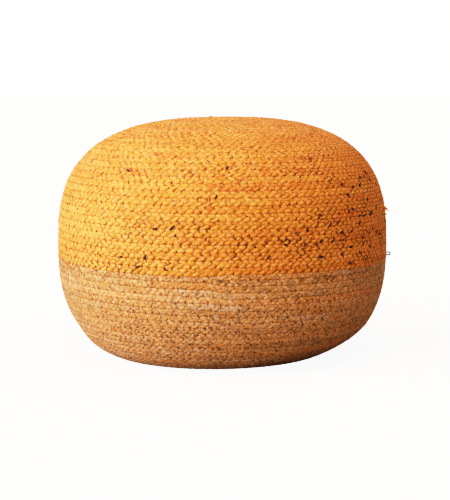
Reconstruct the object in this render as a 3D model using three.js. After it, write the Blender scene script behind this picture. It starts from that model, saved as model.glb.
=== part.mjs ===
// A round pouf covered in braided jute: a filled cushion, domed on top and set down flat on the
// floor. Its cover is two flat braids, each wound in a spiral and sewn edge to edge. A dyed braid
// runs from the centre of the top to the colour line, and a natural one from there to the foot.
// Lengths are in millimetres, +Z is up, and the origin is on the floor under the middle.
import * as THREE from 'three';
import { mergeVertices } from 'three/addons/utils/BufferGeometryUtils.js';

// Driving dimensions.
const WIDTH = 500;
const HEIGHT = 360;
const WIDEST_Z = 162;
const COLOUR_LINE_Z = 147;
const SEAM_GAP = 0.3;

// The form above and below its widest row is a quarter of a superellipse turned round the Z axis.
// The lower one reaches on below the floor, and the floor presses it flat.
const PRESSED_FLAT = 15;
const FORM = {
  crown: { rise: HEIGHT - WIDEST_Z, outPower: 2.7, upPower: 2.9 },
  base: { rise: -(WIDEST_Z + PRESSED_FLAT), outPower: 3.6, upPower: 2.42 },
};

// The two braids: how many turns each makes between its edges, and how far a row stands out.
const BRAIDS = {
  dyed: { turns: 35, relief: 2.6, colour: 0xe08f2c },
  natural: { turns: 20, relief: 1.8, colour: 0xbd8a55 },
};
const STEPS_PER_TURN = 48;

// How the filled form has settled: the crown tips up to the right, the foot has crept to the left,
// and the wall swells and dips a little on its way round.
const CROWN_TIP = 0.008;
const FOOT_CREEP = -9;
const FOOT_CREEP_HEIGHT = 50;
const SWELLS = [
  { lobes: 2, size: 1.6, startsAt: 0.6, leans: 0.9 },
  { lobes: 3, size: 1.1, startsAt: 2.1, leans: -1.6 },
  { lobes: 5, size: 0.6, startsAt: 4.0, leans: 2.2 },
];

// A point of a quarter superellipse, at t from 0 on the axis to 1 at the widest row.
function quarterPoint({ rise, outPower, upPower }, t) {
  const angle = t * Math.PI / 2;
  const radius = WIDTH / 2 * Math.sin(angle) ** (2 / outPower);
  const height = WIDEST_Z + rise * Math.max(Math.cos(angle), 0) ** (2 / upPower);
  return new THREE.Vector2(radius, height);
}

// The outline from the centre of the top, round the wall and in under the form, down to the floor.
// Where the lower form passes the floor, the outline ends.
function meridianCurve() {
  const steps = 80;
  const points = [];
  for (let i = 0; i <= steps; i++) points.push(quarterPoint(FORM.crown, i / steps));
  for (let i = steps - 1; i > 0; i--) {
    const next = quarterPoint(FORM.base, i / steps);
    if (next.y <= 0) {
      const last = points[points.length - 1];
      points.push(last.clone().lerp(next, last.y / (last.y - next.y)));
      break;
    }
    points.push(next);
  }
  const curve = new THREE.SplineCurve(points);
  curve.arcLengthDivisions = 2000;
  return curve;
}

const meridian = meridianCurve();
const MERIDIAN_LENGTH = meridian.getLength();

// The distance along the meridian at which the wall, below its widest row, passes a height.
function distanceAtHeight(height) {
  let [low, high] = [0, MERIDIAN_LENGTH];
  while (high - low > 1e-4) {
    const middle = (low + high) / 2;
    if (meridian.getPointAt(middle / MERIDIAN_LENGTH).y > height) low = middle;
    else high = middle;
  }
  return low;
}

// Moves a point of the true round form to where the filled cushion has settled. The colour line
// stays level and the foot stays on the floor.
function settle(radius, height, angle) {
  const swell = SWELLS.reduce((sum, { lobes, size, startsAt, leans }) =>
    sum + size * Math.sin(lobes * angle + startsAt + leans * height / HEIGHT), 0);
  const settledRadius = radius * (1 + swell / (WIDTH / 2));
  const footShare = 1 - THREE.MathUtils.smoothstep(height, 0, FOOT_CREEP_HEIGHT);
  const crownShare = THREE.MathUtils.smoothstep(height, COLOUR_LINE_Z, HEIGHT);
  const x = settledRadius * Math.cos(angle);
  return new THREE.Vector3(
    x + FOOT_CREEP * footShare,
    settledRadius * Math.sin(angle),
    height + CROWN_TIP * x * crownShare,
  );
}

// A point on the cover, a distance along the meridian from the top and at an angle round the
// axis, raised by a lift along the surface's normal.
function coverPoint(distance, angle, lift) {
  const share = THREE.MathUtils.clamp(distance / MERIDIAN_LENGTH, 0, 1);
  const { x: radius, y: height } = meridian.getPointAt(share);
  const tangent = meridian.getTangentAt(share);
  return settle(Math.max(radius - lift * tangent.y, 0), height + lift * tangent.x, angle);
}

// The solid under one braid, from one level edge of its winding to the other. Between them the
// spiral runs: its first turn grows from nothing and its last one narrows to nothing, as a coiled
// braid is tapered off. Each row has a crest along its middle and a groove along each edge.
function windingGeometry(start, end, { turns, relief }) {
  const pitch = (end - start) / turns;
  const positions = [];
  const indices = [];
  const edgeAt = (k) => THREE.MathUtils.clamp(start + pitch * k / STEPS_PER_TURN, start, end);
  const addPoint = (distance, k, lift) => {
    const point = coverPoint(distance, 2 * Math.PI * k / STEPS_PER_TURN, lift);
    return positions.push(...point) / 3 - 1;
  };
  // The pole and the foot are the form's own ends, and have no groove.
  const grooveLift = (distance) =>
    (distance < 1e-6 || distance > MERIDIAN_LENGTH - 1e-6 ? 0 : -relief);

  const first = -STEPS_PER_TURN;
  const last = turns * STEPS_PER_TURN;
  const edges = [];
  const crests = [];
  for (let k = first; k <= last; k++) {
    const edge = edgeAt(k);
    const nextEdge = edgeAt(k + STEPS_PER_TURN);
    const fullness = (nextEdge - edge) / pitch;
    const grooves = (grooveLift(edge) + grooveLift(nextEdge)) / 2;
    edges.push(addPoint(edge, k, grooveLift(edge)));
    crests.push(addPoint((edge + nextEdge) / 2, k, grooves * (1 - fullness)));
  }
  for (let k = last + 1; k <= last + STEPS_PER_TURN; k++) {
    edges.push(addPoint(end, k, grooveLift(end)));
  }
  const addFace = (a, b, c, d) => indices.push(a, b, c, a, c, d);
  for (let i = 0; i < crests.length - 1; i++) {
    const below = i + STEPS_PER_TURN;
    addFace(edges[i], crests[i], crests[i + 1], edges[i + 1]);
    addFace(crests[i], edges[below], edges[below + 1], crests[i + 1]);
  }

  // A level edge that isn't the pole is closed by a flat disc.
  const addDisc = (rim, up) => {
    const height = positions[rim[0] * 3 + 2];
    const centre = positions.push(0, 0, height) / 3 - 1;
    for (let i = 0; i < STEPS_PER_TURN; i++) {
      const pair = [rim[i], rim[i + 1]];
      indices.push(centre, ...(up ? pair : pair.reverse()));
    }
  };
  if (start > 0) addDisc(edges.slice(0, STEPS_PER_TURN + 1), true);
  addDisc(edges.slice(-STEPS_PER_TURN - 1), false);
  return closedGeometry(positions, indices);
}

// Joins points that coincide and drops the triangles that this flattens to a line.
function closedGeometry(positions, indices) {
  const loose = new THREE.BufferGeometry();
  loose.setAttribute('position', new THREE.Float32BufferAttribute(positions, 3));
  loose.setIndex(indices);
  const merged = mergeVertices(loose, 1e-2);
  const kept = [];
  for (let i = 0; i < merged.index.count; i += 3) {
    const [a, b, c] = [0, 1, 2].map((j) => merged.index.getX(i + j));
    if (a !== b && b !== c && c !== a) kept.push(a, b, c);
  }
  merged.setIndex(kept);
  merged.computeVertexNormals();
  return merged;
}

function braidMesh(name, start, end, braid) {
  const material = new THREE.MeshStandardMaterial({
    color: braid.colour,
    roughness: 0.9,
    metalness: 0,
  });
  const mesh = new THREE.Mesh(windingGeometry(start, end, braid), material);
  mesh.name = name;
  return mesh;
}

const colourLine = distanceAtHeight(COLOUR_LINE_Z);
const pouf = new THREE.Group();
pouf.add(
  braidMesh('dyed_braid', 0, colourLine - SEAM_GAP / 2, BRAIDS.dyed),
  braidMesh('natural_braid', colourLine + SEAM_GAP / 2, MERIDIAN_LENGTH, BRAIDS.natural),
);

export default pouf;
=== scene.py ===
import math

import bmesh
import bpy
import numpy as np
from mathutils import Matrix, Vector


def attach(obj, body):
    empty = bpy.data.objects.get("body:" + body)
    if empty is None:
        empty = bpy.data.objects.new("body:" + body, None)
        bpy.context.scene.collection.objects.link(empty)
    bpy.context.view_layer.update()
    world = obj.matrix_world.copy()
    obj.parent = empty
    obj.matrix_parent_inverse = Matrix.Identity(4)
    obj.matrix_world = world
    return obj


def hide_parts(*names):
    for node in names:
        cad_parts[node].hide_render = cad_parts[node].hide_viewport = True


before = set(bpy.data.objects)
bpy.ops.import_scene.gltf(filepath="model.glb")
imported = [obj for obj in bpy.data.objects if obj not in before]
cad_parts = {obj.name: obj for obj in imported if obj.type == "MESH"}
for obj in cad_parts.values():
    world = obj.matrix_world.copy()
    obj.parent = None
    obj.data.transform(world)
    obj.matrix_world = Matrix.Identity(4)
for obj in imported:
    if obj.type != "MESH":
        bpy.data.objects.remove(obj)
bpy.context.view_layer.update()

# A round floor pouf in plaited jute. Two flat three-strand braids are wound in a spiral round a
# filled cushion and sewn edge to edge: a dyed one from the centre of the top down to the colour
# line, and a natural one from there down the wall and in under the foot. All lengths are metres.

TURN = 2 * math.pi
FRONT = -math.pi / 2
X, Z = 0, 2

# The form's driving dimensions, as in the solids.
WIDTH = 0.500
HEIGHT = 0.360
WIDEST_Z = 0.162
COLOUR_LINE_Z = 0.147
PRESSED_FLAT = 0.015
CROWN = {"rise": HEIGHT - WIDEST_Z, "out_power": 2.7, "up_power": 2.9}
BASE = {"rise": -(WIDEST_Z + PRESSED_FLAT), "out_power": 3.6, "up_power": 2.42}
CROWN_TIP = 0.008
FOOT_CREEP = -0.009
FOOT_CREEP_HEIGHT = 0.050
SWELLS = [
    {"lobes": 2, "size": 0.0016, "starts_at": 0.6, "leans": 0.9},
    {"lobes": 3, "size": 0.0011, "starts_at": 2.1, "leans": -1.6},
    {"lobes": 5, "size": 0.0006, "starts_at": 4.0, "leans": 2.2},
]

# The two braids. A row is as wide as one braid, and each of its stitches is one strand crossing
# over. Strands swing from edge to edge, rise and sink past each other, and fold over at the edges,
# where they overlap the next row. Steps are the degrees at which a strand has sections, from once
# over at the upper edge to the next time.
#
# Full is a strand's thickness low on the wall and on the top, as a share. Tilt, in degrees, is how
# far a stitch may tip, and uneven, in radians, how far stitches may run ahead of the count. The
# share for the left side is painted light: how far the lit left side is coloured paler and
# yellower, towards straw. Bark is this braid's share of the drifts of bark.
# The painted shade where a strand passes under the next one has a depth, and a height from which
# it begins and at which it is complete, from 1 on top to -1 below. Shaded and clean belong to the
# rows at the splice: how deep in shade the first lies, and how free of bark the next are.
DYED = {
    "row": 0.0108,
    "stitch": 0.0114,
    "strand_width": 0.0073,
    "strand_thickness": 0.0015,
    "rise": 0.0006,
    "swing": 0.0052,
    "fold": 0.0010,
    "overlap": 0.0007,
    "steps": [-12, 14, 40, 66, 92, 134, 168, 194, 220, 246, 272, 314],
    "full": (1.1, 0.72),
    "tilt": 7,
    "uneven": 0.75,
    "lit_left_paler": 0.7,
    "bark": 1.0,
    "beneath_shade_depth": 0.9,
    "beneath_shade_from": (-0.14, -0.42),
    "shaded": 0.0,
    "clean": 0.0,
    "seed": 11,
}
NATURAL = {
    "row": 0.0089,
    "stitch": 0.0097,
    "strand_width": 0.0064,
    "strand_thickness": 0.0008,
    "rise": 0.0002,
    "swing": 0.0043,
    "fold": 0.0006,
    "overlap": 0.0006,
    "steps": [-10, 26, 62, 98, 140, 190, 226, 262, 310],
    "full": (1.0, 1.0),
    "tilt": 2,
    "uneven": 0.45,
    "lit_left_paler": 0.0,
    "bark": 0.5,
    "beneath_shade_depth": 1.0,
    "beneath_shade_from": (-0.2, -0.42),
    "shaded": 1.4,
    "clean": 0.7,
    "seed": 12,
}
STRANDS = 3
SHINGLED = 0.07

# Strands are full low on the wall, and sat flat towards the top, between these heights.
SAT_FLAT_FROM_TO = (0.170, 0.340)

# A strand's section in half widths and half thicknesses, and how much painted shade each of its
# corners takes where it lies against the strands beside and below. Painted shade also grows with
# how far the strand drops where it folds over at the row's edge, and is full at the given drop.
SECTION = [
    {"across": 1.0, "up": -0.25, "crease_shade": 1.0},
    {"across": 0.82, "up": 0.84, "crease_shade": 0.0},
    {"across": 0.0, "up": 1.0, "crease_shade": 0.0},
    {"across": -0.82, "up": 0.84, "crease_shade": 0.0},
    {"across": -1.0, "up": -0.25, "crease_shade": 1.0},
    {"across": 0.0, "up": -1.0, "crease_shade": 1.0},
]
TOP_CORNER = 2
CREASE_SHADE_FULL_AT_DROP = 0.0028

# A strand's share of its width and thickness half way down between its neighbours, and what it
# gains where it lies over them. It crests a little early, and its swing is a little squared off.
HALF_WAY = 0.92
WIDER_OVER = 0.14
THICKER_OVER = 0.20
CRESTS_EARLY = 0.1
SQUARED_OFF = 0.05

# Each end of a strand narrows and sinks out of sight over its last stitch.
END_LENGTH = 0.012
END_WIDTH = 0.45
END_SINKS = 0.0012
CLEAR_OF_AXIS = 0.006
CLEAR_OF_FLOOR = 0.0004

# How the hand and the fibre vary: each stitch differs by up to one share, and a strand strays
# slowly by up to another, over about the length given.
GIRTH = {"each_stitch": 0.18, "slowly": 0.08, "over": 0.030}
RISE = {"each_stitch": 0.35, "slowly": 0.25, "over": 0.160}
SWING_EACH_STITCH = 0.08
SWAY = {"size": 0.0004, "over": 0.025}
RUN_OVER = 0.045
HUE = {"braid": 0.5, "braid_over": 0.12, "strand": 0.4, "strand_over": 0.05, "each_stitch": 0.3}
TONE_OVER = 0.22
ROW_TONE_OVER = 0.8
# Painted shade: the tone goes darker towards the foot by this much.
FOOT_SHADE = 1.2
FIBRES_APART = 7.3

# Zones of the cover, by the x or z where each begins and where it is complete.
# Painted light: the lit left side, below the crown, is coloured paler and yellower.
PAINTED_LIGHT_LEFT = [(X, 0.02, -0.22), (Z, 0.31, 0.21)]
FOOT = [(Z, 0.08, 0.01)]
SPLICE_ROW = [(Z, 0.136, 0.141), (X, -0.10, 0.02)]
CLEAN_ROWS = [(Z, 0.100, 0.125), (Z, 0.141, 0.136), (X, -0.21, -0.12)]

# Drifts of bark in the dyed fibre: degrees round from the front, and metres up. There is a little
# everywhere.
BARK_DRIFTS = [
    {"around": 50, "level": 0.200, "wide": 24, "high": 0.038, "share": 0.55},
    {"around": 22, "level": 0.186, "wide": 14, "high": 0.018, "share": 0.28},
    {"around": 60, "level": 0.240, "wide": 20, "high": 0.030, "share": 0.30},
    {"around": -12, "level": 0.195, "wide": 14, "high": 0.030, "share": 0.20},
    {"around": -8, "level": 0.292, "wide": 16, "high": 0.014, "share": 0.30},
    {"around": -35, "level": 0.290, "wide": 8, "high": 0.016, "share": 0.25},
    {"around": 36, "level": 0.300, "wide": 10, "high": 0.018, "share": 0.34},
    {"around": 60, "level": 0.270, "wide": 12, "high": 0.014, "share": 0.36},
    {"around": -26, "level": 0.215, "wide": 9, "high": 0.009, "share": 0.42},
    {"around": -36, "level": 0.170, "wide": 12, "high": 0.014, "share": 0.33},
    {"around": 0, "level": 0.158, "wide": 150, "high": 0.012, "share": 0.12},
    {"around": 150, "level": 0.240, "wide": 30, "high": 0.050, "share": 0.35},
    {"around": -120, "level": 0.180, "wide": 22, "high": 0.035, "share": 0.45},
]
BARK_EVERYWHERE = 0.25

# Flecks of bark. They lie on strands that are over, more of them where the fibre holds more than
# a certain share of bark, and at least some distance apart.
FLECK = {
    "length": (0.0058, 0.0125),
    "width": (0.0026, 0.0048),
    "thickness": 0.0012,
    "apart": (0.007, 0.026),
    "turned": 25,
    "aside": 0.6,
    "raised": 0.0002,
    "over_from": 0.35,
    "bark_from": 0.38,
    "often": 0.90,
    "seldom": 0.0006,
}

# Short hairs that stand off the strands, in tapered arcs.
HAIR = {
    "length": (0.007, 0.020),
    "height": (0.0008, 0.0032),
    "bend": 0.35,
    "turned": 80,
    "root_depth": 0.0005,
    "root_thick": 0.00022,
    "tip_thick": 0.00009,
    "points": 7,
    "over_from": 0.2,
}
BARE_BELOW = 0.02

# Loose ends on the right: degrees round from the front, metres up, and how far each reaches.
FRAYED_ENDS = [
    {"around": 77, "level": 0.228, "out": 0.0095, "down": 0.0100, "thick": 0.0022},
    {"around": 79, "level": 0.216, "out": 0.0055, "down": 0.0025, "thick": 0.0014},
]
FRAYED_SPREADS = (-0.0011, -0.0004, 0.0004, 0.0011)
FRAYED_TIP = 0.0002
LOOP = {"around": 84, "level": 0.153, "out": 0.0075, "high": 0.0046, "thick": 0.0011}
LOOSE_ROOT_DEPTH = 0.0015

# The filled form behind the braids.
FORM_DEPTH = 0.0060
FORM_VOXEL = 0.006
FORM_FOOT = 0.0015
FORM_PRESSURE = 4
FORM_SWELLS_AT_MOST = 0.0018

# The natural braid starts at the front, tucked in under the dyed one, which ends at the back. The
# dyed rows are pushed up to the right of its start, and its first row is sewn on tight.
SPLICE_OPENS = math.radians(6)
SPLICE_FULL = math.radians(3)
BACK_RAMP = math.radians(22)
DYED_END_NARROWS = 0.8
PUSHED_UP = 0.003
PUSHED_ROWS = 2.5
PUSHED_BETWEEN = (0.5, 1.9)
FIRST_ROW_TIGHTER = 0.002
JOG_ROWS = 6
NARROWEST_ROW = 0.001

# Where the braids start and end: rows from the centre of each coil, and a share of the opening
# that the natural braid starts in.
COIL_ROWS = 0.55
STARTS_IN_OPENING = 0.7

# How dyed the natural braid is in its first row, up to some degrees round, and how much more so
# its last strand is at the lower edge. Further on, a stitch here and there is half dyed.
LAST_DYED_STRAND_ENDS = math.radians(41)
SPLICE_DYED = 0.3
SPLICE_EDGE_DYED = 0.5
STRAY_DYED = 0.5
STRAY_ABOVE = 0.992


def smooth(low, high, x):
    share = np.clip((x - low) / (high - low), 0, 1)
    return share * share * (3 - 2 * share)


def mixed(first, second, share):
    return first + (second - first) * share


def inside(zone, points):
    """How far inside a zone of the cover points lie, from 0 to 1."""
    return math.prod(smooth(begins, complete, points[:, axis]) for axis, begins, complete in zone)


def wander(x, spacing, seed):
    """A smooth random value from -1 to 1 along x, which changes over about one spacing."""
    place = x / spacing
    first = math.floor(place.min()) - 1
    knots = np.random.default_rng(seed).uniform(-1, 1, math.ceil(place.max()) - first + 3)
    index = np.floor(place).astype(int) - first
    return mixed(knots[index], knots[index + 1], smooth(0, 1, place - np.floor(place)))


# The cover's own form.


def quarter(form, t):
    """Radius and height on a quarter superellipse, at t from 0 on the axis to 1 at the widest."""
    angle = t * math.pi / 2
    radius = WIDTH / 2 * np.sin(angle) ** (2 / form["out_power"])
    height = WIDEST_Z + form["rise"] * np.maximum(np.cos(angle), 0) ** (2 / form["up_power"])
    return radius, height


def meridian():
    """The cover's outline from the centre of the top, round the wall and across the foot to the
    centre below: the distance run, the radius, the height and the outward normal."""
    t = np.linspace(0, 1, 3000)
    crown_radius, crown_height = quarter(CROWN, t)
    base_radius, base_height = quarter(BASE, t[-2::-1])
    above = base_height > 0
    foot_radius = np.linspace(base_radius[above][-1], 0, 400)[1:]
    radius = np.concatenate([crown_radius, base_radius[above], foot_radius])
    height = np.concatenate([crown_height, base_height[above], 0 * foot_radius])
    distance = np.concatenate([[0], np.cumsum(np.hypot(np.diff(radius), np.diff(height)))])
    evenly = np.linspace(0, distance[-1], 6000)
    radius = np.interp(evenly, distance, radius)
    height = np.interp(evenly, distance, height)

    # The turn into the foot is rounded over a row or so.
    half_reach = 60
    reach = np.hanning(2 * half_reach + 1)
    reach = reach / reach.sum()
    out = np.convolve(np.pad(-np.gradient(height), half_reach, "edge"), reach, "valid")
    up = np.convolve(np.pad(np.gradient(radius), half_reach, "edge"), reach, "valid")
    size = np.hypot(out, up)
    return evenly, radius, height, out / size, up / size


DISTANCE, RADIUS, LEVEL, OUT, UP = meridian()
ROUND_WALL = np.argmax(RADIUS)
LINE = np.interp(-COLOUR_LINE_Z, -LEVEL[ROUND_WALL:], DISTANCE[ROUND_WALL:])
TOTAL = DISTANCE[-1]


def settle(radius, level, angle):
    """Moves points of the true round form to where the filled cushion has settled."""
    swell = sum(
        s["size"] * np.sin(s["lobes"] * angle + s["starts_at"] + s["leans"] * level / HEIGHT)
        for s in SWELLS
    )
    settled = radius * (1 + swell / (WIDTH / 2))
    foot_share = 1 - smooth(0, FOOT_CREEP_HEIGHT, level)
    crown_share = smooth(COLOUR_LINE_Z, HEIGHT, level)
    x = settled * np.cos(angle)
    y = settled * np.sin(angle)
    return np.stack([x + FOOT_CREEP * foot_share, y, level + CROWN_TIP * x * crown_share], axis=-1)


def on_cover(distance, angle, lift):
    """Points at a distance down the meridian and an angle round the axis, raised by a lift."""
    radius = np.interp(distance, DISTANCE, RADIUS)
    level = np.interp(distance, DISTANCE, LEVEL)
    out = np.interp(distance, DISTANCE, OUT)
    up = np.interp(distance, DISTANCE, UP)
    return settle(np.maximum(radius + lift * out, 0), level + lift * up, angle)


def outward(distance, angle):
    out = np.interp(distance, DISTANCE, OUT)
    up = np.interp(distance, DISTANCE, UP)
    return np.stack([out * np.cos(angle), out * np.sin(angle), up], axis=-1)


def on_wall(around, level):
    """A root for a loose fibre, from degrees and metres, and the ways out, round and down."""
    angle = math.radians(around) + FRONT
    below = np.interp(-level, -LEVEL[ROUND_WALL:], DISTANCE[ROUND_WALL:])
    above = np.interp(level, LEVEL[ROUND_WALL::-1], DISTANCE[ROUND_WALL::-1])
    distance = below if level < WIDEST_Z else above
    out = outward(distance, angle)
    round_way = np.array([-math.sin(angle), math.cos(angle), 0])
    return on_cover(distance, angle, -LOOSE_ROOT_DEPTH), out, round_way, np.cross(out, round_way)


# Where the rows run. An angle here grows on and on along a spiral, and the front of the turn in
# which the natural braid starts has angle 0. An edge is the upper or lower rim of a row.


def past_splice(around):
    """How far the rows have opened for the natural braid's start, at an angle from the front."""
    return smooth(-SPLICE_OPENS, SPLICE_FULL, around)


def at_back(around):
    return smooth(math.pi - BACK_RAMP, math.pi + BACK_RAMP, around)


def pushed_up(around):
    return PUSHED_UP * past_splice(around) * (1 - smooth(*PUSHED_BETWEEN, around))


def dyed_edge(angle):
    """Distance down the meridian of the dyed braid's lower edge."""
    passage = np.round(angle / TURN)
    pushed = pushed_up(angle - TURN * passage) * np.exp(np.minimum(passage, 0) / PUSHED_ROWS)
    return LINE + DYED["row"] * angle / TURN - pushed


def dyed_row(angle):
    """Distance of the dyed row's middle and its width. It narrows out at the back."""
    upper = np.maximum(dyed_edge(angle - TURN), 0)
    lower = mixed(dyed_edge(angle), upper, DYED_END_NARROWS * at_back(angle))
    return (upper + lower) / 2, lower - upper


def natural_edge(angle):
    """Distance of the natural braid's upper edge. In its first turn this is the dyed braid's lower
    one, so the rows below jog where the one starts and the other ends, and then even out."""
    row = NATURAL["row"]
    passage = np.floor((angle + SPLICE_OPENS) / TURN)
    around = angle - TURN * passage

    def jog(turn):
        return np.exp(-np.maximum(turn, 0) / JOG_ROWS)

    def left_of_front(turn, around):
        level = LINE + row * np.maximum(turn - jog(turn - 1), 0) - FIRST_ROW_TIGHTER * (turn > 1)
        return level + mixed(row, DYED["row"], jog(turn - 1)) / TURN * around

    right = LINE + row * passage - FIRST_ROW_TIGHTER * (passage > 0)
    right = right + mixed(row, DYED["row"], jog(passage)) / TURN * around
    right = right - pushed_up(around) * jog(passage)
    edge = mixed(left_of_front(passage, around), right, past_splice(around))
    return mixed(edge, left_of_front(passage + 1, around - TURN), at_back(around))


def natural_row(angle):
    upper = natural_edge(angle)
    lower = np.minimum(natural_edge(angle + TURN), TOTAL)
    return (upper + lower) / 2, np.maximum(lower - upper, NARROWEST_ROW)


def walk(row, first, last):
    """A braid's route: angles along its spiral with the length of braid up to each."""
    angle = np.linspace(first, last, int((last - first) * 200))
    middle, _ = row(angle)
    radius = np.maximum(np.interp(middle, DISTANCE, RADIUS), 0.002)
    steps = np.hypot(np.diff(angle) * (radius[1:] + radius[:-1]) / 2, np.diff(middle))
    return angle, np.concatenate([[0], np.cumsum(steps)])


# How the strands lie in a braid, and what their fibre is like.


def strand_samples(length, cycle, phase, steps):
    """Lengths along the braid and phases at which a strand's sections stand. A cycle is once over
    from the upper edge and once from the lower, with the sections closer where it shows."""
    cycles = np.arange(-1, math.ceil(length / cycle) + 2)
    phases = (TURN * cycles[:, None] + np.radians(steps)[None, :]).ravel()
    along = (phases - phase) / TURN * cycle
    kept = (along > 0) & (along < length)
    return along[kept], phases[kept]


def varied(along, habit, own, seed):
    """A share about 1 that differs for each stitch and strays slowly along the strand."""
    slowly = habit["slowly"] * wander(along, habit["over"], seed)
    return 1 + habit["each_stitch"] * own + slowly


def fold_over(across, half_row, fold):
    """Keeps points within their row: what reaches past its edge goes round and down."""
    flat = np.maximum(half_row - fold, 0)[:, None]
    past = np.maximum(np.abs(across) - flat, 0)
    bend = np.minimum(past / fold, math.pi / 2)
    kept = np.minimum(np.abs(across), flat) + fold * np.sin(bend)
    drop = fold * (1 - np.cos(bend)) + np.maximum(past - fold * math.pi / 2, 0)
    return np.sign(across) * kept, drop


def directions(top, out):
    """The way a strand runs, its side and its own up, from its top line and the cover's normal."""
    ahead = np.gradient(top, axis=0)
    ahead /= np.linalg.norm(ahead, axis=1, keepdims=True)
    up = out - ahead * (out * ahead).sum(1, keepdims=True)
    up /= np.linalg.norm(up, axis=1, keepdims=True)
    return ahead, np.cross(up, ahead), up


def bark_share(angle, level):
    """How thick dark flecks of bark lie in the fibre, from 0 to 1: in drifts, most on the right."""
    around = np.degrees(np.mod(angle + math.pi, TURN) - math.pi)
    drifts = 0
    for drift in BARK_DRIFTS:
        sideways = (around - drift["around"]) / drift["wide"]
        upwards = (level - drift["level"]) / drift["high"]
        drifts = drifts + drift["share"] * np.exp(-(sideways**2 + upwards**2))
    return np.clip(BARK_EVERYWHERE + drifts, 0, 1)


def dyed_share(angle, turn, number, chance):
    """Where a natural strand is dyed: a little in the first row after the splice, most where one
    strand of the three folds over at its lower edge, and a stitch here and there."""
    lower = smooth(0.5, 0.95, -np.cos(turn))
    at_splice = SPLICE_DYED + SPLICE_EDGE_DYED * lower * (number == STRANDS - 1)
    elsewhere = np.where(chance > STRAY_ABOVE, STRAY_DYED, 0.0)
    return np.where(angle < LAST_DYED_STRAND_ENDS, at_splice, elsewhere)


def plait(braid, row, first, last, number, seed):
    """Where one strand of a braid lies: its sections' points, the line along its top and the ways
    it faces there, its half width, where it is over the others, and facts for its colour."""
    angles, lengths = walk(row, first, last)
    cycle = STRANDS * braid["stitch"]
    along, turn = strand_samples(lengths[-1], cycle, TURN * number / STRANDS, braid["steps"])
    angle = np.interp(along, lengths, angles)
    middle, width = row(angle)
    narrow = width / braid["row"]
    full = np.interp(np.interp(middle, DISTANCE, LEVEL), SAT_FLAT_FROM_TO, braid["full"])

    # The plaiting hand is uneven: the whole braid's stitches run longer and shorter by turns, and
    # each stitch of a strand has a make of its own. It shows from one edge over to the middle.
    turn = turn + braid["uneven"] * wander(along, RUN_OVER, braid["seed"] + 50)
    stitch = np.floor(turn / math.pi + 0.5).astype(int)
    own = np.random.default_rng(seed).uniform(-1, 1, (stitch.max() + 2, 6))[stitch]
    fuller, wider, higher, paler, tipped, redder = own.T
    over = np.sin(2 * turn)
    girth = varied(along, GIRTH, fuller, seed + 2)
    half_width = braid["strand_width"] / 2 * girth * narrow
    half_width = half_width * (HALF_WAY + WIDER_OVER * np.maximum(over, 0))
    half_thick = braid["strand_thickness"] / 2 * full * (2 - girth)
    half_thick = half_thick * (HALF_WAY + THICKER_OVER * over)

    swing = (np.cos(turn) - SQUARED_OFF * np.cos(3 * turn)) / (1 - SQUARED_OFF)
    across = -braid["swing"] * narrow * swing * (1 + SWING_EACH_STITCH * wider)
    across = across + SWAY["size"] * wander(along, SWAY["over"], seed + 3)
    rise = braid["rise"] * full * varied(along, RISE, higher, seed + 1)
    depth = braid["rise"] + braid["strand_thickness"] / 2
    ends = smooth(0, END_LENGTH, along) * smooth(lengths[-1], lengths[-1] - END_LENGTH, along)
    lift = rise * np.sin(2 * turn + CRESTS_EARLY) - depth - END_SINKS * (1 - ends)
    half_width = half_width * mixed(END_WIDTH, 1, ends)

    # Each section lies square to the way the strand runs, and folds over where the row ends.
    slope = np.arctan2(np.gradient(across), np.gradient(along))[:, None]
    beside = half_width[:, None] * np.array([corner["across"] for corner in SECTION])
    raised = half_thick[:, None] * np.array([corner["up"] for corner in SECTION])
    forward = -beside * np.sin(slope)
    tilt = np.tan(math.radians(braid["tilt"]) * tipped)[:, None]
    raised = raised + SHINGLED * forward + tilt * beside
    folded, drop = fold_over(
        across[:, None] + beside * np.cos(slope), width / 2 + braid["overlap"], braid["fold"]
    )
    radius = np.maximum(np.interp(middle, DISTANCE, RADIUS), CLEAR_OF_AXIS)
    points = on_cover(
        middle[:, None] + folded,
        (angle + FRONT)[:, None] + forward / radius[:, None],
        lift[:, None] + raised - drop,
    )
    points[:, :, Z] = np.maximum(points[:, :, Z], CLEAR_OF_FLOOR)

    top = points[:, TOP_CORNER]
    ahead, side, up = directions(top, outward(middle + across, angle + FRONT))
    # Painted shade in the creases at the strand's edges and below it, and where it folds down.
    crease_shade = np.array([corner["crease_shade"] for corner in SECTION]) + drop / CREASE_SHADE_FULL_AT_DROP
    hue = HUE["braid"] * wander(along, HUE["braid_over"], braid["seed"] + 60)
    hue = hue + HUE["strand"] * wander(along, HUE["strand_over"], seed + 5)
    # Painted light: the lit left side is pushed towards straw.
    hue = hue + HUE["each_stitch"] * redder - braid["lit_left_paler"] * inside(PAINTED_LIGHT_LEFT, top)
    # Painted shade: darker towards the foot.
    tone = wander(along, TONE_OVER, seed + 4) - FOOT_SHADE * inside(FOOT, top)
    bark = bark_share(angle, top[:, Z]) * braid["bark"] - braid["clean"] * inside(CLEAN_ROWS, top)
    return {
        "points": points,
        "top": top,
        "ahead": ahead,
        "side": side,
        "up": up,
        "half_width": half_width,
        "over": over,
        "own_fibre": FIBRES_APART * number,
        "facts": {
            "along": along,
            "stitch": paler,
            "hue": hue,
            "tone": tone - braid["shaded"] * inside(SPLICE_ROW, top),
            "row_tone": wander(along, ROW_TONE_OVER, braid["seed"]),
            "dyed": dyed_share(angle, turn, number, paler) if braid is NATURAL else 0 * along,
            "bark": bark,
            # Painted shade where the strand passes under the next one.
            "shade_beneath": braid["beneath_shade_depth"] * np.minimum(full, 1) * smooth(*braid["beneath_shade_from"], over),
            "crease_shade": np.clip(crease_shade, 0, 1),
        },
    }


# Making the pieces.


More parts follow.
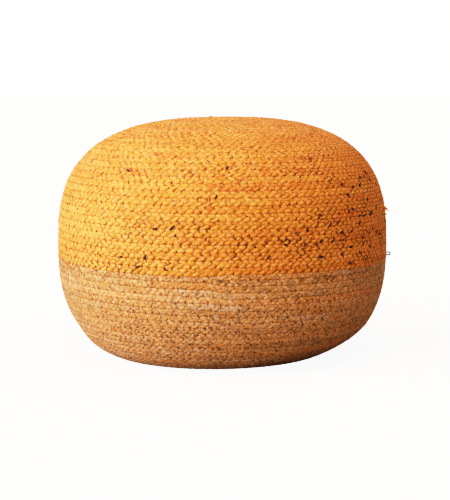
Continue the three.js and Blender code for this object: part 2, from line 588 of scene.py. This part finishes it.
def placed(name, data):
    piece = bpy.data.objects.new(name, data)
    bpy.context.collection.objects.link(piece)
    return piece


def make_active(piece):
    bpy.ops.object.select_all(action="DESELECT")
    bpy.context.view_layer.objects.active = piece
    piece.select_set(True)


def opened(mesh):
    cage = bmesh.new()
    cage.from_mesh(mesh)
    return cage


def closed(cage, mesh):
    """Puts an opened mesh back with its outside out."""
    bmesh.ops.recalc_face_normals(cage, faces=cage.faces)
    cage.to_mesh(mesh)
    cage.free()


def faces_between(rings, sides):
    """The corners of the four-sided faces between rings of points that follow each other."""
    ring = np.arange(rings - 1)[:, None] * sides
    corner = np.arange(sides)[None, :]
    after = (corner + 1) % sides
    quads = np.stack([ring + corner, ring + after, ring + sides + after, ring + sides + corner], -1)
    return quads.reshape(-1, 4)


def swept(name, lie):
    """A strand as a soft flat tube, closed at both ends, with its own length and girth as
    coordinates and what is known of each section as attributes."""
    points, facts = lie["points"], lie["facts"]
    rings, sides, _ = points.shape
    quads = faces_between(rings, sides)
    mesh = bpy.data.meshes.new(name)
    mesh.from_pydata(points.reshape(-1, 3), [], quads)
    piece = placed(name, mesh)

    for key, value in facts.items():
        layer = mesh.attributes.new(key, "FLOAT", "POINT")
        each = value if value.ndim == 2 else np.repeat(value, sides)
        layer.data.foreach_set("value", each.astype(np.float32).ravel())

    girth = np.linalg.norm(np.diff(points[0], axis=0, append=points[0][:1]), axis=1).sum()
    side = np.arange(sides)
    u = facts["along"][quads // sides]
    v = np.tile(np.stack([side, side + 1, side + 1, side], -1) / sides, (rings - 1, 1))
    lay_out(mesh, "fibre", u, v * girth + lie["own_fibre"])

    # A second map holds the strand in one square, cut to strips that lie side by side.
    strips = math.ceil(math.sqrt(u.max() / girth))
    length = u.max() / strips * 1.01
    strip = np.floor(u[:, :1] / length)
    lay_out(mesh, "OFBake", (u - strip * length) / length * 0.99, (strip + 0.04 + 0.92 * v) / strips)

    cage = opened(mesh)
    cage.verts.ensure_lookup_table()
    cage.faces.new([cage.verts[i] for i in range(sides)][::-1])
    cage.faces.new([cage.verts[i] for i in range((rings - 1) * sides, rings * sides)])
    closed(cage, mesh)
    mesh.shade_smooth()
    mesh.update()
    return piece


def lay_out(mesh, name, u, v):
    layout = mesh.uv_layers.new(name=name)
    layout.data.foreach_set("uv", np.stack([u, v], -1).astype(np.float32).ravel())


def filled_form(name):
    """The filled cushion's own skin, behind the braids, swelling softly as a stuffed form does."""
    rows, columns = 60, 96
    distance = np.linspace(0, TOTAL, rows)[:, None]
    angle = np.linspace(0, TURN, columns, endpoint=False)
    points = on_cover(distance + 0 * angle, angle + 0 * distance, -FORM_DEPTH).reshape(-1, 3)
    points[:, Z] = np.maximum(points[:, Z], FORM_FOOT)
    mesh = bpy.data.meshes.new(name)
    mesh.from_pydata(points, [], faces_between(rows, columns)[:, [0, 3, 2, 1]])
    piece = placed(name, mesh)
    cage = opened(mesh)
    bmesh.ops.remove_doubles(cage, verts=cage.verts, dist=0.0005)
    bmesh.ops.holes_fill(cage, edges=[e for e in cage.edges if e.is_boundary])
    closed(cage, mesh)

    make_active(piece)
    mesh.remesh_voxel_size = FORM_VOXEL
    bpy.ops.object.voxel_remesh()
    inflate(piece)
    soften = piece.modifiers.new("soften", "SMOOTH")
    soften.iterations = 3
    bpy.ops.object.modifier_apply(modifier="soften")
    bpy.ops.object.shade_smooth()
    return piece


def inflate(piece):
    """Fills a closed skin with air as cloth, for twenty frames, and keeps every point near home."""
    home = np.array([vertex.co[:] for vertex in piece.data.vertices])
    cloth = piece.modifiers.new("cloth", "CLOTH")
    cloth.settings.use_pressure = True
    cloth.settings.uniform_pressure_force = FORM_PRESSURE
    cloth.settings.effector_weights.gravity = 0
    scene = bpy.context.scene
    for frame_number in range(1, 21):
        scene.frame_set(frame_number)
    bpy.ops.object.modifier_apply(modifier="cloth")
    scene.frame_set(1)
    swollen = np.array([vertex.co[:] for vertex in piece.data.vertices])
    moved = swollen - home
    far = np.linalg.norm(moved, axis=1, keepdims=True)
    moved *= np.minimum(FORM_SWELLS_AT_MOST / np.maximum(far, 1e-9), 1)
    kept = home + moved
    kept[:, Z] = np.maximum(kept[:, Z], FORM_FOOT)
    piece.data.vertices.foreach_set("co", kept.astype(np.float32).ravel())
    piece.data.update()


def way_turned(lie, i, turned):
    """A way along the cover at a section of a strand, turned by degrees from the way it runs."""
    turned = math.radians(turned)
    return lie["ahead"][i] * math.cos(turned) + lie["side"][i] * math.sin(turned)


def bark_flecks(name, lies, seed):
    """Slivers of bark that stick in the fibre: flat spindles, one mesh for all."""
    draw = np.random.default_rng(seed)
    places = []
    for lie in lies:
        rich = np.maximum(lie["facts"]["bark"] - FLECK["bark_from"], 0)
        chance = FLECK["seldom"] + FLECK["often"] * rich**1.5
        seen = (lie["over"] > FLECK["over_from"]) & (lie["top"][:, Z] > BARE_BELOW)
        for i in np.flatnonzero(seen & (draw.random(len(chance)) < chance)):
            apart = draw.uniform(*FLECK["apart"])
            if any(np.linalg.norm(lie["top"][i] - place[0]) < apart for place in places):
                continue
            way = way_turned(lie, i, draw.uniform(-FLECK["turned"], FLECK["turned"]))
            up = lie["up"][i]
            aside = lie["half_width"][i] * draw.uniform(-FLECK["aside"], FLECK["aside"])
            middle = lie["top"][i] + lie["side"][i] * aside + up * FLECK["raised"]
            places.append((middle, way, np.cross(up, way), up))

    # A spindle has a point at each end, and two rings of four corners between them.
    long = draw.uniform(*FLECK["length"], len(places)) / 2
    wide = draw.uniform(*FLECK["width"], len(places)) / 2
    points = []
    for (middle, way, beside, up), half_long, half_wide in zip(places, long, wide):
        points.append(middle - way * half_long)
        for along, fullness in ((-0.35, 1.0), (0.3, 0.8)):
            for across, above in ((1, 0), (0, 1), (-1, 0), (0, -1)):
                out = beside * across * half_wide + up * above * FLECK["thickness"] / 2
                points.append(middle + way * half_long * along + out * fullness)
        points.append(middle + way * half_long)
    corners = [(0, 1 + (i + 1) % 4, 1 + i) for i in range(4)]
    corners += [(1 + i, 1 + (i + 1) % 4, 5 + (i + 1) % 4, 5 + i) for i in range(4)]
    corners += [(9, 5 + i, 5 + (i + 1) % 4) for i in range(4)]
    faces = [[10 * k + i for i in face] for k in range(len(places)) for face in corners]
    mesh = bpy.data.meshes.new(name)
    mesh.from_pydata(points, [], faces)
    closed(opened(mesh), mesh)
    mesh.shade_smooth()
    return placed(name, mesh)


def hairs(name, routes):
    """Loose fibres as thin tapered tubes, from rows of points with a thickness each."""
    bevel = 0.001
    curve = bpy.data.curves.new(name, "CURVE")
    curve.dimensions = "3D"
    curve.bevel_depth = bevel
    curve.bevel_resolution = 0
    curve.use_fill_caps = True
    for points, thick in routes:
        spline = curve.splines.new("POLY")
        spline.points.add(len(points) - 1)
        for point, place, radius in zip(spline.points, points, thick):
            point.co = (*place, 1)
            point.radius = radius / bevel
    piece = placed(name, curve)
    make_active(piece)
    bpy.ops.object.convert(target="MESH")
    closed(opened(piece.data), piece.data)
    bpy.ops.object.shade_smooth()
    return piece


def fuzz(lies, count, seed):
    """Short hairs that stand off the strands in low arcs."""
    draw = np.random.default_rng(seed)
    t = np.linspace(0, 1, HAIR["points"])[:, None]
    thick = np.linspace(HAIR["root_thick"], HAIR["tip_thick"], HAIR["points"])
    routes = []
    for _ in range(count):
        lie = lies[draw.integers(len(lies))]
        i = draw.integers(len(lie["over"]))
        if lie["over"][i] < HAIR["over_from"] or lie["top"][i][Z] < BARE_BELOW:
            continue
        up = lie["up"][i]
        way = way_turned(lie, i, draw.uniform(-HAIR["turned"], HAIR["turned"]))
        length = draw.uniform(*HAIR["length"])
        height = draw.uniform(*HAIR["height"])
        bend = draw.uniform(-HAIR["bend"], HAIR["bend"])
        arc = np.sin(math.pi * np.minimum(t * draw.uniform(0.6, 1.0), 1))
        root = lie["top"][i] - up * HAIR["root_depth"]
        bent = np.cross(up, way) * length * bend * t * t
        routes.append((root + way * length * t + bent + up * height * arc, thick))
    return routes


def loose_ends():
    """The frayed ends that stand out from the wall on the right."""
    t = np.linspace(0, 1, 5)[:, None]
    routes = []
    for end in FRAYED_ENDS:
        root, out, ahead, down = on_wall(end["around"], end["level"])
        down = -down if down[Z] > 0 else down
        tip = out * end["out"] + down * end["down"]
        for spread in FRAYED_SPREADS:
            points = root + ahead * spread * (1 - t) + out * spread * (1 - t) + tip * t**0.8
            routes.append((points, np.linspace(end["thick"], FRAYED_TIP, len(t))))
    return routes


def loop():
    """One natural fibre that stands off the wall in a ring, just above the colour line."""
    root, out, _, down = on_wall(LOOP["around"], LOOP["level"])
    t = np.linspace(-0.15, 1.15, 13)[:, None] * TURN
    points = root + out * LOOP["out"] / 2 * (1 - np.cos(t)) + down * LOOP["high"] / 2 * np.sin(t)
    return points, np.full(len(t), LOOP["thick"])


# Materials. Marks in the fibre are given as how many there are to a metre along the strand and
# round it, and how finely they break up.
LONG_FIBRES = (90, 2400, 3)
GRAIN = (420, 520, 1)
STREAKS = (150, 560, 2)
BANDS = (25, 300, 1)
BLEACHED = (260, 620, 1)
RUSTY = (150, 420, 1)
BARK_BITS = (130, 330, 0)
PATCHES_PER_METRE = 22


def rgb(red, green, blue):
    """Linear colour from screen values of 0 to 255."""
    screen = np.array([red, green, blue]) / 255
    return tuple(np.where(screen <= 0.04045, screen / 12.92, ((screen + 0.055) / 1.055) ** 2.4))


# The tones of each jute. Grain and streaky weigh those marks in the shade of the fibre, and tinted
# is how far the bleached and rusty ones show. The crevice colour is painted shade, laid in the
# creases between strands and where one passes under the next. A noise with so many breaks to a
# metre cuts that shade into short lines, which begin and are complete at two values of the noise,
# and the shade is deeper where the fibre holds more bark, by a share. Dots are dark where their own
# marks pass dots_from.
BARK = rgb(58, 34, 34)
DYED_TONES = {
    "pale": rgb(252, 153, 80),
    "mid": rgb(240, 140, 46),
    "deep": rgb(206, 124, 32),
    "redder": rgb(230, 114, 32),
    "straw": rgb(246, 160, 70),
    "shade_colour": rgb(82, 56, 30),
    "dot": rgb(124, 62, 24),
    "dots_from": 0.64,
    "dots_per_metre": (400, 500),
    "fibre_relief": 0.8,
    "bark_deepens_shade": 1.0,
    "bleached": rgb(240, 156, 104),
    "rusty": rgb(204, 106, 26),
    "grain": 0.55,
    "streaky": 1.2,
    "tinted": 0.6,
    "shade_breaks_from": (0.45, 0.62),
    "shade_breaks_per_metre": 120,
}
NATURAL_TONES = {
    "pale": rgb(244, 160, 104),
    "mid": rgb(206, 141, 82),
    "deep": rgb(150, 96, 46),
    "redder": rgb(214, 124, 52),
    "straw": rgb(216, 166, 132),
    "shade_colour": rgb(66, 42, 30),
    "dot": rgb(66, 38, 24),
    "dots_from": 0.588,
    "dots_per_metre": (600, 800),
    "fibre_relief": 0.25,
    "bark_deepens_shade": 0.2,
    "bleached": rgb(238, 182, 144),
    "rusty": rgb(206, 118, 50),
    "grain": 0.6,
    "streaky": 0.6,
    "tinted": 0.45,
    "shade_breaks_from": (0.49, 0.57),
    "shade_breaks_per_metre": 230,
}


def material(name):
    made = bpy.data.materials.new(name)
    made.use_nodes = True
    tree = made.node_tree
    return made, tree, tree.nodes["Principled BSDF"]


def feed(tree, socket, value):
    """Sets a socket to a number or a colour, or links another node's output to it."""
    if isinstance(value, (int, float)):
        socket.default_value = value
    elif isinstance(value, tuple):
        socket.default_value = (*value, 1)
    else:
        tree.links.new(value, socket)


def noise(tree, vector, scale, detail):
    node = tree.nodes.new("ShaderNodeTexNoise")
    node.inputs["Scale"].default_value = scale
    node.inputs["Detail"].default_value = detail
    tree.links.new(vector, node.inputs["Vector"])
    return node.outputs["Fac"]


def ramp(tree, share, *stops):
    """Colours at their places along a share from 0 to 1."""
    node = tree.nodes.new("ShaderNodeValToRGB")
    elements = node.color_ramp.elements
    for element, (position, colour) in zip(elements, (stops[0], stops[-1])):
        element.position = position
        element.color = (*colour, 1)
    for position, colour in stops[1:-1]:
        elements.new(position).color = (*colour, 1)
    tree.links.new(share, node.inputs["Fac"])
    return node.outputs["Color"]


def jute(name, tones, dyed_tones=None):
    """Soft plaited jute: long fibres along the strand, each stitch a little paler or deeper, with
    painted shade in the creases between strands and under them, and flecks of bark left in the
    fibre."""
    made, tree, shader = material(name)
    nodes, links = tree.nodes, tree.links
    fibre = nodes.new("ShaderNodeUVMap")
    fibre.uv_map = "fibre"
    place = nodes.new("ShaderNodeTexCoord").outputs["Object"]

    def attribute(key):
        node = nodes.new("ShaderNodeAttribute")
        node.attribute_name = key
        return node.outputs["Fac"]

    def maths(operation, *values):
        node = nodes.new("ShaderNodeMath")
        node.operation = operation
        for socket, value in zip(node.inputs, values):
            feed(tree, socket, value)
        return node.outputs[0]

    def weighed(total, *shares):
        for share, weight in shares:
            total = maths("MULTIPLY_ADD", share, weight, total)
        return total

    def marks(along, across, detail):
        stretch = nodes.new("ShaderNodeMapping")
        stretch.inputs["Scale"].default_value = (along, across, 1)
        links.new(fibre.outputs["UV"], stretch.inputs["Vector"])
        return noise(tree, stretch.outputs[0], 1, detail)

    def between(value, low, high):
        node = nodes.new("ShaderNodeMapRange")
        node.interpolation_type = "SMOOTHSTEP"
        for key, bound in (("Value", value), ("From Min", low), ("From Max", high)):
            feed(tree, node.inputs[key], bound)
        return node.outputs["Result"]

    def over(below, above, share, blend="MIX"):
        node = nodes.new("ShaderNodeMix")
        node.data_type = "RGBA"
        node.blend_type = blend
        for socket, value in zip((node.inputs["Factor"], *node.inputs[6:8]), (share, below, above)):
            feed(tree, socket, value)
        return node.outputs[2]

    shade = weighed(
        0.33 - tones["grain"] / 2 - tones["streaky"] / 2,
        (marks(*LONG_FIBRES), 0.4),
        (marks(*GRAIN), tones["grain"]),
        (marks(*STREAKS), tones["streaky"]),
        (marks(*BANDS), 0.2),
        (noise(tree, place, PATCHES_PER_METRE, 2), 0.25),
        (attribute("stitch"), 0.05),
        (attribute("tone"), 0.08),
        (attribute("row_tone"), 0.08),
    )

    def plain_fibre(dye):
        stops = (0.45, dye["deep"]), (0.75, dye["mid"]), (1.0, dye["pale"])
        hue = attribute("hue")
        redder = over(ramp(tree, shade, *stops), dye["redder"], between(hue, 0.15, 0.95))
        return over(redder, dye["straw"], between(hue, -0.2, -1.1))

    colour = plain_fibre(tones)
    if dyed_tones:
        colour = over(colour, plain_fibre(dyed_tones), attribute("dyed"))
    bleached = between(marks(*BLEACHED), 0.54, 0.68)
    colour = over(colour, tones["bleached"], maths("MULTIPLY", bleached, tones["tinted"]))
    rusty = between(marks(*RUSTY), 0.56, 0.70)
    colour = over(colour, tones["rusty"], maths("MULTIPLY", rusty, tones["tinted"]))

    # Painted shade darkens the creases at the strands' edges and folds, and where one passes under
    # the next. A noise breaks it into short lines, deeper where the fibre holds more bark, so that
    # some stitches have a dark line beside them and others run together.
    shade_breaks = noise(tree, place, tones["shade_breaks_per_metre"], 2)
    shade_strength = between(shade_breaks, *tones["shade_breaks_from"])
    shade_strength = weighed(shade_strength, (attribute("bark"), tones["bark_deepens_shade"]))
    crease_shade = maths("MAXIMUM", attribute("crease_shade"), attribute("shade_beneath"))
    crease_shade = maths("MINIMUM", maths("MULTIPLY", crease_shade, shade_strength), 1)
    colour = over(colour, tones["shade_colour"], crease_shade, "MULTIPLY")

    # There are more dark dots and bits of bark where the fibre holds more bark.
    specks = weighed(marks(*tones["dots_per_metre"], 1), (attribute("bark"), 0.05))
    dots = between(specks, tones["dots_from"], tones["dots_from"] + 0.05)
    colour = over(colour, tones["dot"], maths("MULTIPLY", dots, 0.75))
    least = maths("MULTIPLY_ADD", attribute("bark"), -0.07, 0.84)
    bits = between(marks(*BARK_BITS), least, maths("ADD", least, 0.03))
    colour = over(colour, BARK, maths("MULTIPLY", bits, 0.92))
    links.new(colour, shader.inputs["Base Color"])

    bump = nodes.new("ShaderNodeBump")
    bump.inputs["Strength"].default_value = tones["fibre_relief"]
    bump.inputs["Distance"].default_value = 0.0018
    links.new(shade, bump.inputs["Height"])
    links.new(bump.outputs["Normal"], shader.inputs["Normal"])
    shader.inputs["Roughness"].default_value = 0.75
    shader.inputs["Sheen Weight"].default_value = 0.08
    shader.inputs["Sheen Roughness"].default_value = 0.5
    return made


def plain(name, colour, deeper):
    """A matt fibre of one colour, mottled a little."""
    made, tree, shader = material(name)
    place = tree.nodes.new("ShaderNodeTexCoord").outputs["Object"]
    mottled = ramp(tree, noise(tree, place, 260, 2), (0.35, deeper), (0.65, colour))
    tree.links.new(mottled, shader.inputs["Base Color"])
    shader.inputs["Roughness"].default_value = 0.8
    return made


def dress(piece, finish, *nodes):
    piece.data.materials.append(finish)
    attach(piece, "root")
    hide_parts(*nodes)


dyed_jute = jute("dyed_jute", DYED_TONES)
natural_jute = jute("natural_jute", NATURAL_TONES, DYED_TONES)

dyed_start = -TURN * (LINE - COIL_ROWS * DYED["row"]) / DYED["row"]
dyed_end = math.pi + BACK_RAMP
natural_start = -SPLICE_OPENS * STARTS_IN_OPENING
natural_end = TURN * ((TOTAL + FIRST_ROW_TIGHTER - LINE) / NATURAL["row"] - COIL_ROWS)
dyed_lies = [plait(DYED, dyed_row, dyed_start, dyed_end, n, 100 + 10 * n) for n in range(STRANDS)]
natural_lies = [
    plait(NATURAL, natural_row, natural_start, natural_end, n, 200 + 10 * n) for n in range(STRANDS)
]
for number in range(STRANDS):
    dress(swept(f"dyed_strand_{number + 1}", dyed_lies[number]), dyed_jute, "dyed_braid")
    natural_piece = swept(f"natural_strand_{number + 1}", natural_lies[number])
    dress(natural_piece, natural_jute, "natural_braid")

bark = plain("bark", rgb(84, 50, 42), rgb(34, 26, 34))
dress(bark_flecks("bark_flecks", dyed_lies + natural_lies, 31), bark, "dyed_braid", "natural_braid")

dyed_fibre = plain("dyed_fibre", rgb(240, 150, 52), rgb(206, 104, 24))
natural_fibre = plain("natural_fibre", rgb(222, 172, 114), rgb(168, 112, 62))
dress(hairs("dyed_fuzz", fuzz(dyed_lies, 900, 41) + loose_ends()), dyed_fibre, "dyed_braid")
dress(hairs("natural_fuzz", fuzz(natural_lies, 700, 42)), natural_fibre, "natural_braid")

# Jute coloured as in deep shade: painted shade, for the filled cushion that shows between the
# strands and for the loop on the shaded right.
deep_shade_jute = plain("deep_shade_jute", rgb(128, 78, 34), rgb(92, 52, 22))
dress(hairs("loose_loop", [loop()]), deep_shade_jute, "natural_braid")
form = filled_form("filled_cushion")
dress(form, deep_shade_jute, "dyed_braid", "natural_braid")

# The studio: a pale floor and backdrop, a wide sun low on the left and a weaker warm one above.
# Backdrop and floor are bright where the camera looks, and light the pouf only a little.
AMBIENT = 0.25
BACKGROUND = 2.6
BACKGROUND_COLOUR = (1, 0.95, 0.88)
FLOOR_GLOW = 1.6
FLOOR_SIZE = 60
FLOOR_COLOUR = (0.38, 0.365, 0.34)

# A camera's own contrast, as light that comes in and light shown: shadows go deeper and redder,
# and highlights roll off to a paler yellow.
TONE_CURVE = [
    (0.02, 0.007),
    (0.06, 0.036),
    (0.15, 0.128),
    (0.33, 0.345),
    (0.6, 0.62),
    (1.0, 0.82),
    (1.6, 0.94),
]
BRIGHTEST = 3

# The photo's camera: 2.2 m from the middle of the pouf and 6.2 degrees above the level, with the
# pouf's middle at pixel (222, 233.8) of a picture of 450 by 500.
CAMERA_DISTANCE = 2.2
CAMERA_ELEVATION = math.radians(6.2)
FOCAL_PIXELS = 1430
PICTURE = (450, 500)
MIDDLE_AT = (222, 233.8)
SENSOR_WIDTH = 36


def seen_by_camera(tree, low, high):
    """One value for the light that comes off, and another where the camera looks."""
    path = tree.nodes.new("ShaderNodeLightPath")
    value = tree.nodes.new("ShaderNodeMapRange")
    value.inputs["To Min"].default_value = low
    value.inputs["To Max"].default_value = high
    tree.links.new(path.outputs["Is Camera Ray"], value.inputs["Value"])
    return value.outputs["Result"]


def floor():
    bpy.ops.mesh.primitive_plane_add(size=FLOOR_SIZE, location=(0, 0, 0))
    ground = bpy.context.object
    ground.name = "pale_floor"
    made, tree, shader = material("pale_floor")
    shader.inputs["Base Color"].default_value = (*FLOOR_COLOUR, 1)
    shader.inputs["Roughness"].default_value = 1
    shader.inputs["Specular IOR Level"].default_value = 0
    shader.inputs["Emission Color"].default_value = (1, 1, 1, 1)
    glow = seen_by_camera(tree, 0, FLOOR_GLOW)
    tree.links.new(glow, shader.inputs["Emission Strength"])
    made.cycles.emission_sampling = "NONE"
    ground.data.materials.append(made)


def sun(name, towards_left, up, width, power, colour):
    """A soft distant light, at angles to the left of the camera's side and up from the floor."""
    lamp = bpy.data.lights.new(name, "SUN")
    lamp.angle = math.radians(width)
    lamp.energy = power
    lamp.color = colour
    holder = placed(name, lamp)
    holder.rotation_euler = (math.radians(90 - up), 0, math.radians(-towards_left))


def tone_curve():
    view = bpy.context.scene.view_settings
    view.view_transform = "Standard"
    view.use_curve_mapping = True
    view.curve_mapping.clip_max_x = BRIGHTEST
    view.curve_mapping.clip_max_y = 1
    curve = view.curve_mapping.curves[3]
    curve.points[0].location = (0, 0)
    curve.points[1].location = (BRIGHTEST, 1)
    for light, shown in TONE_CURVE:
        curve.points.new(light, shown)
    view.curve_mapping.update()


def studio():
    sun("key_from_left", towards_left=65, up=11, width=75, power=8.0, colour=(1, 0.98, 0.92))
    sun("fill_from_above", towards_left=-15, up=72, width=40, power=1.8, colour=(1, 0.80, 0.58))
    world = bpy.data.worlds.new("studio")
    world.use_nodes = True
    background = world.node_tree.nodes["Background"]
    background.inputs["Color"].default_value = (*BACKGROUND_COLOUR, 1)
    strength = seen_by_camera(world.node_tree, AMBIENT, BACKGROUND)
    world.node_tree.links.new(strength, background.inputs["Strength"])
    bpy.context.scene.world = world
    tone_curve()


def camera():
    data = bpy.data.cameras.new("camera")
    data.sensor_width = SENSOR_WIDTH
    data.lens = FOCAL_PIXELS / max(PICTURE) * SENSOR_WIDTH
    data.shift_x = (PICTURE[0] / 2 - MIDDLE_AT[0]) / max(PICTURE)
    data.shift_y = (MIDDLE_AT[1] - PICTURE[1] / 2) / max(PICTURE)
    holder = placed("camera", data)
    back = Vector((0, -math.cos(CAMERA_ELEVATION), math.sin(CAMERA_ELEVATION)))
    holder.location = Vector((0, 0, HEIGHT / 2)) + CAMERA_DISTANCE * back
    holder.rotation_euler = (math.pi / 2 - CAMERA_ELEVATION, 0, 0)
    bpy.context.scene.camera = holder


floor()
studio()
camera()
